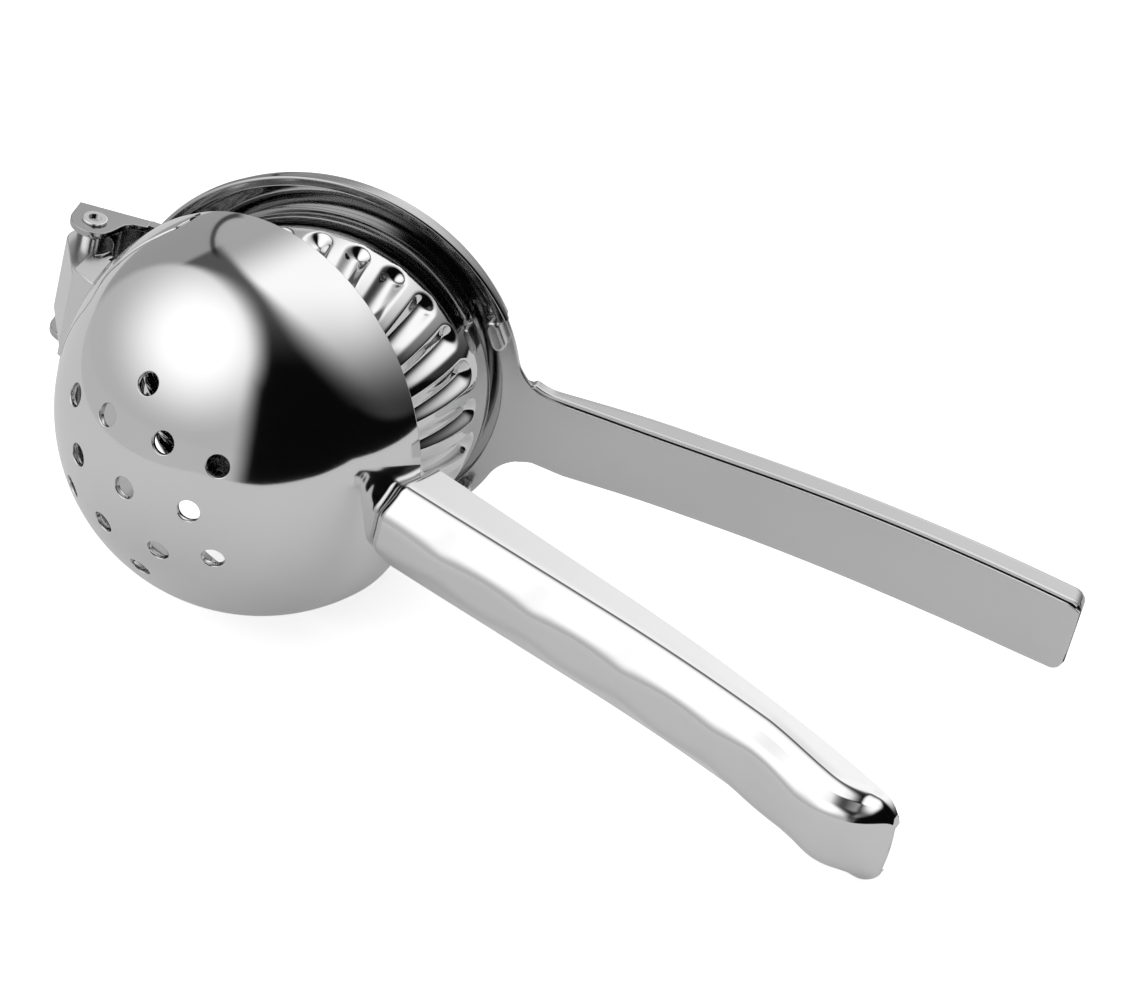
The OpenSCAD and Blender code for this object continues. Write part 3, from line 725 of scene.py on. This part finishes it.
# ------------------------------------------------------------------- stage
class Maths:
    """Builds chains of math nodes with a short notation."""

    def __init__(self, tree):
        self.tree = tree

    def feed(self, socket, value):
        if isinstance(value, (int, float)):
            socket.default_value = value
        else:
            self.tree.links.new(value, socket)

    def __call__(self, kind, *values):
        n = self.tree.nodes.new("ShaderNodeMath")
        n.operation = kind
        for socket, value in zip(n.inputs, values):
            self.feed(socket, value)
        return n.outputs[0]

    def step(self, value, start, end, low=0.0, high=1.0):
        """Eases from low to high while value runs from start to end."""
        n = self.tree.nodes.new("ShaderNodeMapRange")
        n.interpolation_type = "SMOOTHSTEP"
        for key, v in (("From Min", start), ("From Max", end), ("To Min", low),
                       ("To Max", high), ("Value", value)):
            self.feed(n.inputs[key], v)
        return n.outputs["Result"]

    def vector(self, kind, a, b=None):
        n = self.tree.nodes.new("ShaderNodeVectorMath")
        n.operation = kind
        self.tree.links.new(a, n.inputs[0])
        if b is not None:
            n.inputs[1].default_value = b
        return n.outputs["Value" if kind == "DOT_PRODUCT" else "Vector"]

    def blend(self, a, b, u):
        rest = self("SUBTRACT", 1.0, u)
        return self("ADD", self("MULTIPLY", a, rest), self("MULTIPLY", b, u))


# A polished ball shows each direction of the room at one place of its face.
# The room is laid out on that face: u runs right and w up, from -1 to 1.
SIGHT = (-0.56926, 0.70268, -0.42683)
RIGHT = (0.75667, 0.65082, 0.06228)
ABOVE = (-0.32155, 0.28752, 0.90219)
LAMP, LAMP_R, GLOW = (-0.43, 0.275), 0.414, (-0.3, 0.33)
CORNER_AT, CORNER_R = (-0.11, 0.8), 0.125


def room(world, card):
    """Studio round the object, by direction: a round light on the left, a long
    one on the right and the dark opening between them."""
    tree = world.node_tree
    tree.nodes.clear()
    m = Maths(tree)
    way = tree.nodes.new("ShaderNodeTexCoord").outputs["Generated"]
    axes = tree.nodes.new("ShaderNodeSeparateXYZ")
    tree.links.new(way, axes.inputs[0])
    half = m.vector("NORMALIZE", m.vector("SUBTRACT", way, SIGHT))
    u, w = m.vector("DOT_PRODUCT", half, RIGHT), m.vector("DOT_PRODUCT", half, ABOVE)

    def far(x, y):
        dx, dy = m("SUBTRACT", u, x), m("SUBTRACT", w, y)
        return m("SQRT", m("ADD", m("MULTIPLY", dx, dx), m("MULTIPLY", dy, dy)))

    def line(x, y, c):
        return m("SUBTRACT", m("ADD", m("MULTIPLY", u, x), m("MULTIPLY", w, y)), c)

    soft = m.step(u, -0.35, 0.0, 0.018, 0.07)
    disc = m.step(m("SUBTRACT", m("SUBTRACT", far(*LAMP), LAMP_R), soft),
                  0.0, m("MULTIPLY", soft, -2.0))
    upright = line(1.0, -0.15, -0.062)
    below = m("MULTIPLY", m.step(upright, 0.06, -0.06), m.step(w, 0.38, 0.2))
    left = m("MAXIMUM", disc, below)
    fill = m.step(far(*GLOW), 0.47, 0.1, 0.53, 0.53 + card * 0.83)
    roof = m("MAXIMUM", m.step(line(-0.447, 0.894, 0.782), -0.012, 0.015),
             m.step(u, -0.42, -0.55))
    grey = m.step(w, 0.35, 0.6, 0.54, 0.36)
    band = m.step(w, 0.18, 0.6, 0.003, 0.1)
    ring = far(*CORNER_AT)
    corner = m("MULTIPLY", m.step(u, -0.07, -0.12), m.step(w, 0.7, 0.76))
    bulge = m("MINIMUM", m("MULTIPLY", m("POWER", m("SUBTRACT", u, 0.6), 2.0), 2.2), 0.05)
    lens = m("MULTIPLY", m.step(line(0.74, 0.673, 0.3365), m.step(w, 0.25, 0.6, -0.05, 0.012),
                                m.step(w, 0.25, 0.65, 0.14, 0.06)),
             m.step(m("SUBTRACT", w, bulge), -0.07, -0.02))
    cut = m("MULTIPLY", corner, m.step(ring, CORNER_R, CORNER_R + 0.005))
    lens = m("MULTIPLY", lens, m("SUBTRACT", 1.0, cut))
    shade = m("MULTIPLY", m.step(w, 0.0, 0.6, 0.08, 1.25), card)
    shade = m("MULTIPLY", shade, m.step(line(-0.5, 1.0, 0.0), 0.58, 0.84, 1.0, 0.38))
    shade = m("MULTIPLY", shade, m.step(u, 0.4, 0.85, 1.0, 0.35))
    off = m("ABSOLUTE", m("SUBTRACT", ring, CORNER_R))
    seam = m("MULTIPLY", corner, m.step(off, 0.018, 0.006))
    sky = m.blend(band, grey, roof)
    sky = m.blend(sky, shade, lens)
    sky = m.blend(sky, fill, left)
    sky = m("MULTIPLY", sky, m("SUBTRACT", 1.0, m("MULTIPLY", seam, 0.85)))
    ground = m.step(upright, 0.06, -0.06, 0.003, 0.55)
    light = m.blend(ground, sky, m.step(axes.outputs["Z"], -0.03, 0.01))
    lit = tree.nodes.new("ShaderNodeBackground")
    tree.links.new(light, lit.inputs["Strength"])
    white = tree.nodes.new("ShaderNodeBackground")
    white.inputs["Color"].default_value = (1, 1, 1, 1)
    lit.inputs["Color"].default_value = (1, 1, 1, 1)
    ray = tree.nodes.new("ShaderNodeLightPath")
    both = tree.nodes.new("ShaderNodeMixShader")
    tree.links.new(ray.outputs["Is Camera Ray"], both.inputs[0])
    tree.links.new(lit.outputs[0], both.inputs[1])
    tree.links.new(white.outputs[0], both.inputs[2])
    out = tree.nodes.new("ShaderNodeOutputWorld")
    tree.links.new(both.outputs[0], out.inputs["Surface"])


# Front edge of the table top, in metres: it ends where the metal stops showing it.
TABLE_FRONT = ((-3, 0.6), (-0.2, -0.15), (-0.1, -0.182), (-0.02, -0.2), (0.02, -0.18),
               (0.063, -0.142), (0.19, -0.096), (0.38, -0.035))
CAMERA_AT, CAMERA_TURN = (0.45323, -0.63329, 0.40848), (63.87196, -5.02678, 37.59702)


class SQZ_OT_stage(bpy.types.Operator):
    """Set up the table top, the studio light and the camera"""
    bl_idname = "squeezer.stage"
    bl_label = "Stage"

    def execute(self, context):
        s = context.scene.squeezer_stage
        bm = bmesh.new()
        ring = [bm.verts.new((x, y, 0)) for x, y in (*TABLE_FRONT, (0.38, 3), (-3, 3))]
        bm.faces.new(ring)
        mesh = bpy.data.meshes.new("table_top")
        bm.to_mesh(mesh)
        bm.free()
        floor = bpy.data.objects.new("table_top", mesh)
        context.scene.collection.objects.link(floor)
        floor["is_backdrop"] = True
        mat = bpy.data.materials.new("table_white")
        mat.use_nodes = True
        tree = mat.node_tree
        tree.nodes.clear()
        link = tree.links.new
        ray = tree.nodes.new("ShaderNodeLightPath")
        seen = node(tree, "ShaderNodeBsdfDiffuse", Color=(0.62, 0.62, 0.62, 1))
        glow = node(tree, "ShaderNodeEmission", Strength=s.floor * 0.4)
        grey = tree.nodes.new("ShaderNodeAddShader")
        link(seen.outputs[0], grey.inputs[0])
        link(glow.outputs[0], grey.inputs[1])
        bright = node(tree, "ShaderNodeBsdfDiffuse", Color=(0.9, 0.9, 0.9, 1))
        lift = node(tree, "ShaderNodeEmission", Strength=0.72)
        white = tree.nodes.new("ShaderNodeAddShader")
        link(bright.outputs[0], white.inputs[0])
        link(lift.outputs[0], white.inputs[1])
        both = tree.nodes.new("ShaderNodeMixShader")
        link(ray.outputs["Is Camera Ray"], both.inputs[0])
        link(grey.outputs[0], both.inputs[1])
        link(white.outputs[0], both.inputs[2])
        out = tree.nodes.new("ShaderNodeOutputMaterial")
        link(both.outputs[0], out.inputs["Surface"])
        mesh.materials.append(mat)
        world = context.scene.world or bpy.data.worlds.new("studio")
        context.scene.world = world
        world.use_nodes = True
        room(world, s.card)
        data = bpy.data.cameras.new("camera")
        data.lens, data.sensor_width = s.lens, 36
        data.clip_start, data.clip_end = 0.05, 20
        camera = bpy.data.objects.new("camera", data)
        context.scene.collection.objects.link(camera)
        camera.location = CAMERA_AT
        camera.rotation_euler = Euler([math.radians(a) for a in CAMERA_TURN])
        context.scene.camera = camera
        context.scene.view_settings.view_transform = "Standard"
        return {"FINISHED"}


class SQZ_PT_panel(bpy.types.Panel):
    bl_label = "Lemon Squeezer"
    bl_space_type = "VIEW_3D"
    bl_region_type = "UI"
    bl_category = "Squeezer"

    def draw(self, context):
        for group, operators in GROUPS:
            box = self.layout.box()
            settings = getattr(context.scene, group)
            for key in settings.bl_rna.properties.keys():
                if key not in {"rna_type", "name"}:
                    box.prop(settings, key)
            for operator in operators:
                box.operator(operator)


GROUPS = (
    ("squeezer_shapes", ("squeezer.bowl", "squeezer.dome", "squeezer.grip", "squeezer.pan",
                         "squeezer.lever", "squeezer.hinge")),
    ("squeezer_metals", ("squeezer.metals",)),
    ("squeezer_stage", ("squeezer.stage",)),
)
CLASSES = (SQZ_PG_shapes, SQZ_PG_metals, SQZ_PG_stage, SQZ_OT_bowl, SQZ_OT_dome, SQZ_OT_grip,
           SQZ_OT_pan, SQZ_OT_lever, SQZ_OT_hinge, SQZ_OT_metals, SQZ_OT_stage, SQZ_PT_panel)


def register():
    for cls in CLASSES:
        bpy.utils.register_class(cls)
    bpy.types.Scene.squeezer_shapes = bpy.props.PointerProperty(type=SQZ_PG_shapes)
    bpy.types.Scene.squeezer_metals = bpy.props.PointerProperty(type=SQZ_PG_metals)
    bpy.types.Scene.squeezer_stage = bpy.props.PointerProperty(type=SQZ_PG_stage)


def unregister():
    del bpy.types.Scene.squeezer_stage
    del bpy.types.Scene.squeezer_metals
    del bpy.types.Scene.squeezer_shapes
    for cls in reversed(CLASSES):
        bpy.utils.unregister_class(cls)


def main():
    register()
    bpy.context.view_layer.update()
    bpy.ops.squeezer.bowl()
    bpy.ops.squeezer.dome()
    bpy.ops.squeezer.grip()
    bpy.ops.squeezer.pan()
    bpy.ops.squeezer.lever()
    bpy.ops.squeezer.hinge()
    bpy.ops.squeezer.metals()
    bpy.ops.squeezer.stage()


if __name__ == "__main__":
    main()
